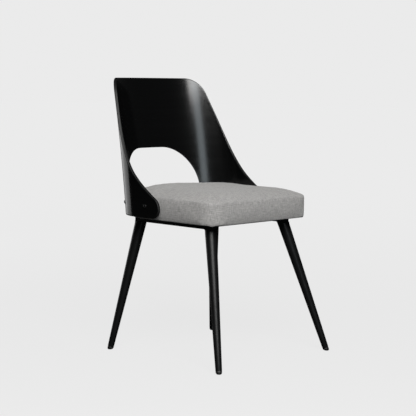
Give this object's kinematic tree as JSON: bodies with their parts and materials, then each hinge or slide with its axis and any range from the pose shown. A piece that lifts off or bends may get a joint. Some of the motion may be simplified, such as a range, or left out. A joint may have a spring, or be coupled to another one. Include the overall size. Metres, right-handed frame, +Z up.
{
  "type": "dining chair",
  "caption": "Dining chair with a bent plywood wrap-around back shell, cut-out lower back, upholstered seat pad and splayed tapered steel legs.",
  "frame": {"origin": "on the floor, under the middle of the chair's bounding box", "axes": "+Z up, -Y is the way the chair faces, +X is the sitter's left"},
  "size_m": [0.5008, 0.5794, 0.813],
  "materials": {
    "lacquered_ply": "black stained veneer under satin lacquer",
    "fabric": "grey woven melange upholstery cloth",
    "foam": "polyurethane foam",
    "raw_ply": "uncoated plywood",
    "black_steel": "satin black powder coat",
    "black_plastic": "moulded black plastic",
    "black_cloth": "non-woven dust cloth",
    "zinc": "zinc plated"
  },
  "bodies": {
    "root": {"back_shell": "lacquered_ply", "seat_cover": "fabric", "seat_foam": "foam", "seat_board": "raw_ply", "dust_cover": "black_cloth", "shell_bolt_front_left": "black_steel", "mounting_block_front_left": "raw_ply", "threaded_insert_front_left": "zinc", "block_screw_front_left": "zinc", "leg_front_left": "black_steel", "glide_front_left": "black_plastic", "shell_bolt_rear_left": "black_steel", "mounting_block_rear_left": "raw_ply", "threaded_insert_rear_left": "zinc", "block_screw_rear_left": "zinc", "leg_rear_left": "black_steel", "glide_rear_left": "black_plastic", "shell_bolt_front_right": "black_steel", "mounting_block_front_right": "raw_ply", "threaded_insert_front_right": "zinc", "block_screw_front_right": "zinc", "leg_front_right": "black_steel", "glide_front_right": "black_plastic", "shell_bolt_rear_right": "black_steel", "mounting_block_rear_right": "raw_ply", "threaded_insert_rear_right": "zinc", "block_screw_rear_right": "zinc", "leg_rear_right": "black_steel", "glide_rear_right": "black_plastic", "seat_bolt_front_left": "zinc", "tee_nut_front_left": "zinc", "seat_bolt_rear_left": "zinc", "tee_nut_rear_left": "zinc", "seat_bolt_front_right": "zinc", "tee_nut_front_right": "zinc", "seat_bolt_rear_right": "zinc", "tee_nut_rear_right": "zinc", "side_rail_left": "black_steel", "rail_cap_front_left": "black_plastic", "rail_cap_rear_left": "black_plastic", "side_rail_right": "black_steel", "rail_cap_front_right": "black_plastic", "rail_cap_rear_right": "black_plastic", "cross_rail_front": "black_steel", "cross_rail_rear": "black_steel"}
  },
  "joints": []
}
